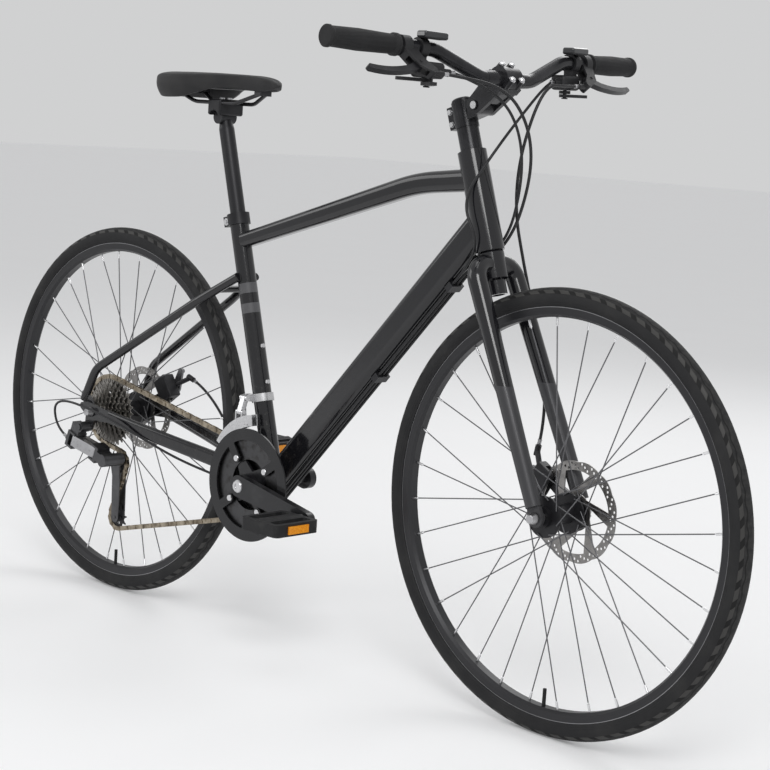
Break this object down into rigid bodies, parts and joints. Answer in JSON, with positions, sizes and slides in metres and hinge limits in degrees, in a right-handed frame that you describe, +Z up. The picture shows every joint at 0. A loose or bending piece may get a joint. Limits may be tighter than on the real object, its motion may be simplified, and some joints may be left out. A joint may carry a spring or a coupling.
{
  "type": "hybrid bike",
  "caption": "Black hybrid bike with flat riser bar, adjustable stem, rigid fork, disc brakes, derailleur gears and padded saddle.",
  "frame": {"origin": "On the ground below the middle of the wheelbase, between the two tyre contact points", "axes": "+X forward in the direction of travel, +Y to the rider's left, +Z up"},
  "size_m": [1.7608, 0.7132, 1.0559],
  "materials": {
    "frame_paint": "gloss black paint over aluminium",
    "fork_paint": "gloss black to satin dark grey paint",
    "black_alloy": "satin black anodised",
    "grip_rubber": "matte ribbed rubber",
    "control_plastic": "satin moulded plastic",
    "lever_alloy": "satin black alloy",
    "mech_alloy": "satin grey alloy",
    "bright_steel": "brushed steel",
    "tyre_rubber": "matte tyre rubber",
    "spoke_steel": "black spokes with bright nipples",
    "chain_steel": "oiled steel",
    "ring_steel": "black rings and guard",
    "pedal_plastic": "satin moulded plastic",
    "saddle_cover": "matte synthetic leather",
    "rail_steel": "black steel rails",
    "housing_plastic": "satin cable housing"
  },
  "bodies": {
    "frame": {"head_tube": "frame_paint", "top_tube": "frame_paint", "down_tube": "frame_paint", "seat_tube": "frame_paint", "seatstays": "frame_paint", "chainstays": "frame_paint", "dropouts": "frame_paint", "frame_bearings": "black_alloy", "frame_fittings": "black_alloy", "rear_caliper": "black_alloy", "rear_axle": "bright_steel", "control_cables": "housing_plastic", "chain": "chain_steel", "front_mech_body": "bright_steel", "rear_mech_base": "mech_alloy"},
    "steering": {"fork": "fork_paint", "stem_clamp": "black_alloy", "front_caliper": "black_alloy", "front_axle": "bright_steel"},
    "handlebar": {"stem_extension": "black_alloy", "handlebar": "black_alloy", "grips": "grip_rubber", "lever_brackets": "control_plastic"},
    "brake_lever_right": {"brake_lever_right": "lever_alloy"},
    "brake_lever_left": {"brake_lever_left": "lever_alloy"},
    "shift_lever_right": {"shift_lever_right": "control_plastic"},
    "shift_lever_left": {"shift_lever_left": "control_plastic"},
    "release_lever_right": {"release_lever_right": "control_plastic"},
    "release_lever_left": {"release_lever_left": "control_plastic"},
    "front_caliper_arm": {"front_caliper_arm": "mech_alloy"},
    "rear_caliper_arm": {"rear_caliper_arm": "mech_alloy"},
    "front_wheel": {"front_rim": "black_alloy", "front_tyre": "tyre_rubber", "front_spokes": "spoke_steel", "front_hub": "black_alloy", "front_rotor": "bright_steel"},
    "rear_wheel": {"rear_rim": "black_alloy", "rear_tyre": "tyre_rubber", "rear_spokes": "spoke_steel", "rear_hub": "black_alloy", "rear_rotor": "bright_steel"},
    "front_quick_release": {"front_quick_release": "mech_alloy"},
    "rear_quick_release": {"rear_quick_release": "mech_alloy"},
    "cassette": {"cassette": "bright_steel"},
    "crank": {"crank_arms": "black_alloy", "chainrings": "ring_steel"},
    "pedal_right": {"pedal_right": "pedal_plastic"},
    "pedal_left": {"pedal_left": "pedal_plastic"},
    "outer_link": {"outer_link": "mech_alloy"},
    "inner_link": {"inner_link": "mech_alloy"},
    "knuckle": {"knuckle": "mech_alloy"},
    "cage": {"cage": "mech_alloy"},
    "guide_pulley": {"guide_pulley": "control_plastic"},
    "tension_pulley": {"tension_pulley": "control_plastic"},
    "front_mech_link": {"front_mech_link": "bright_steel"},
    "front_mech_cage": {"front_mech_cage": "bright_steel"},
    "seatpost": {"seatpost": "black_alloy"},
    "saddle_clamp": {"saddle_clamp": "black_alloy"},
    "saddle": {"saddle_pad": "saddle_cover", "saddle_rails": "rail_steel"}
  },
  "joints": [
    {"name": "steering", "type": "hinge", "parent": "frame", "child": "steering", "pos_m": [0.36089, 0, 0.73042], "axis": [-0.3256, 0, 0.9455], "range_deg": [-65, 65], "deforming": ["control_cables"]},
    {"name": "stem_angle", "type": "hinge", "parent": "steering", "child": "handlebar", "pos_m": [0.32389, 0, 0.95459], "axis": [0, 1, 0], "range_deg": [-15, 40]},
    {"name": "brake_lever_right", "type": "hinge", "parent": "handlebar", "child": "brake_lever_right", "pos_m": [0.36977, -0.19979, 1.00573], "axis": [-0.7619, 0.0633, -0.6445], "range_deg": [0, 16], "stiffness_Nm_per_rad": 1.5, "springref_deg": -17.19},
    {"name": "shift_lever_right", "type": "hinge", "parent": "handlebar", "child": "shift_lever_right", "pos_m": [0.35374, -0.16129, 1.03083], "axis": [0, 0.0247, 0.9997], "range_deg": [0, 25], "stiffness_Nm_per_rad": 0.2, "springref_deg": -28.65},
    {"name": "release_lever_right", "type": "hinge", "parent": "handlebar", "child": "release_lever_right", "pos_m": [0.35374, -0.16129, 1.03083], "axis": [0, -0.0247, -0.9997], "range_deg": [0, 18], "stiffness_Nm_per_rad": 0.2, "springref_deg": -28.65},
    {"name": "brake_lever_left", "type": "hinge", "parent": "handlebar", "child": "brake_lever_left", "pos_m": [0.36977, 0.19979, 1.00573], "axis": [0.7619, 0.0633, 0.6445], "range_deg": [0, 16], "stiffness_Nm_per_rad": 1.5, "springref_deg": -17.19},
    {"name": "shift_lever_left", "type": "hinge", "parent": "handlebar", "child": "shift_lever_left", "pos_m": [0.35374, 0.16129, 1.03083], "axis": [0, 0.0247, -0.9997], "range_deg": [0, 25], "stiffness_Nm_per_rad": 0.2, "springref_deg": -28.65},
    {"name": "release_lever_left", "type": "hinge", "parent": "handlebar", "child": "release_lever_left", "pos_m": [0.35374, 0.16129, 1.03083], "axis": [0, -0.0247, 0.9997], "range_deg": [0, 18], "stiffness_Nm_per_rad": 0.2, "springref_deg": -28.65},
    {"name": "front_caliper_arm", "type": "hinge", "parent": "steering", "child": "front_caliper_arm", "pos_m": [0.46349, 0, 0.387], "axis": [0, 1, 0], "range_deg": [0, 18]},
    {"name": "front_wheel_spin", "type": "hinge", "parent": "steering", "child": "front_wheel", "pos_m": [0.5345, 0, 0.346], "axis": [0, 1, 0], "continuous": true},
    {"name": "rear_caliper_arm", "type": "hinge", "parent": "frame", "child": "rear_caliper_arm", "pos_m": [-0.46816, 0, 0.3942], "axis": [0, 1, 0], "range_deg": [0, 18]},
    {"name": "rear_wheel_spin", "type": "hinge", "parent": "frame", "child": "rear_wheel", "pos_m": [-0.5345, 0, 0.346], "axis": [0, 1, 0], "continuous": true},
    {"name": "cassette_spin", "type": "hinge", "parent": "frame", "child": "cassette", "pos_m": [-0.5345, 0, 0.346], "axis": [0, 1, 0], "continuous": true},
    {"name": "crank_spin", "type": "hinge", "parent": "frame", "child": "crank", "pos_m": [-0.10106, 0, 0.283], "axis": [0, 1, 0], "continuous": true, "deforming": ["chain"]},
    {"name": "pedal_right_spin", "type": "hinge", "parent": "crank", "child": "pedal_right", "pos_m": [0.06661, -0.139, 0.25494], "axis": [0, 1, 0], "continuous": true},
    {"name": "pedal_left_spin", "type": "hinge", "parent": "crank", "child": "pedal_left", "pos_m": [-0.26872, 0.139, 0.31106], "axis": [0, 1, 0], "continuous": true},
    {"name": "rear_mech_shift", "type": "hinge", "parent": "frame", "child": "outer_link", "pos_m": [-0.56185, -0.09, 0.28824], "axis": [-0.342, 0, -0.9397], "range_deg": [0, 40]},
    {"name": "inner_link_swing", "type": "hinge", "parent": "frame", "child": "inner_link", "pos_m": [-0.56185, -0.075, 0.28824], "axis": [-0.342, 0, -0.9397], "range_deg": [0, 40]},
    {"name": "knuckle_swing", "type": "hinge", "parent": "outer_link", "child": "knuckle", "pos_m": [-0.51895, -0.07517, 0.27263], "axis": [-0.342, 0, -0.9397], "range_deg": [-40, 0]},
    {"name": "cage_tension", "type": "hinge", "parent": "knuckle", "child": "cage", "pos_m": [-0.487, -0.0284, 0.261], "axis": [0, 1, 0], "range_deg": [-20, 25], "stiffness_Nm_per_rad": 2},
    {"name": "guide_pulley_spin", "type": "hinge", "parent": "cage", "child": "guide_pulley", "pos_m": [-0.5, -0.0284, 0.251], "axis": [0, 1, 0], "continuous": true},
    {"name": "tension_pulley_spin", "type": "hinge", "parent": "cage", "child": "tension_pulley", "pos_m": [-0.49763, -0.0284, 0.14703], "axis": [0, 1, 0], "continuous": true},
    {"name": "front_mech_shift", "type": "hinge", "parent": "frame", "child": "front_mech_link", "pos_m": [-0.15305, -0.03275, 0.42646], "axis": [-1, 0, 0], "range_deg": [0, 40]},
    {"name": "front_mech_cage_swing", "type": "hinge", "parent": "front_mech_link", "child": "front_mech_cage", "pos_m": [-0.15305, -0.04035, 0.4016], "axis": [-1, 0, 0], "range_deg": [-40, 0]},
    {"name": "seatpost_height", "type": "slide", "parent": "frame", "child": "seatpost", "axis": [-0.2756, 0, 0.9613], "range_m": [-0.14, 0.06]},
    {"name": "saddle_tilt", "type": "hinge", "parent": "seatpost", "child": "saddle_clamp", "pos_m": [-0.28077, 0, 0.90974], "axis": [0, 1, 0], "range_deg": [-12, 12]},
    {"name": "saddle_setback", "type": "slide", "parent": "saddle_clamp", "child": "saddle", "axis": [1, 0, 0], "range_m": [-0.02, 0.02]},
    {"name": "front_quick_release", "type": "hinge", "parent": "steering", "child": "front_quick_release", "pos_m": [0.5345, 0.0648, 0.346], "axis": [0.6, 0, -0.8], "range_deg": [0, 180]},
    {"name": "rear_quick_release", "type": "hinge", "parent": "frame", "child": "rear_quick_release", "pos_m": [-0.5345, 0.0813, 0.346], "axis": [0.28, 0, -0.96], "range_deg": [0, 180]}
  ],
  "couplings": [
    {"joint": "rear_caliper_arm", "follows": "brake_lever_right", "ratio": 1.125},
    {"joint": "front_caliper_arm", "follows": "brake_lever_left", "ratio": 1.125},
    {"joint": "cassette_spin", "follows": "crank_spin", "ratio": 0.875},
    {"joint": "guide_pulley_spin", "follows": "crank_spin", "ratio": -2.5455},
    {"joint": "tension_pulley_spin", "follows": "crank_spin", "ratio": 2.5455},
    {"joint": "inner_link_swing", "follows": "rear_mech_shift", "ratio": 1},
    {"joint": "knuckle_swing", "follows": "rear_mech_shift", "ratio": -1},
    {"joint": "front_mech_cage_swing", "follows": "front_mech_shift", "ratio": -1}
  ]
}
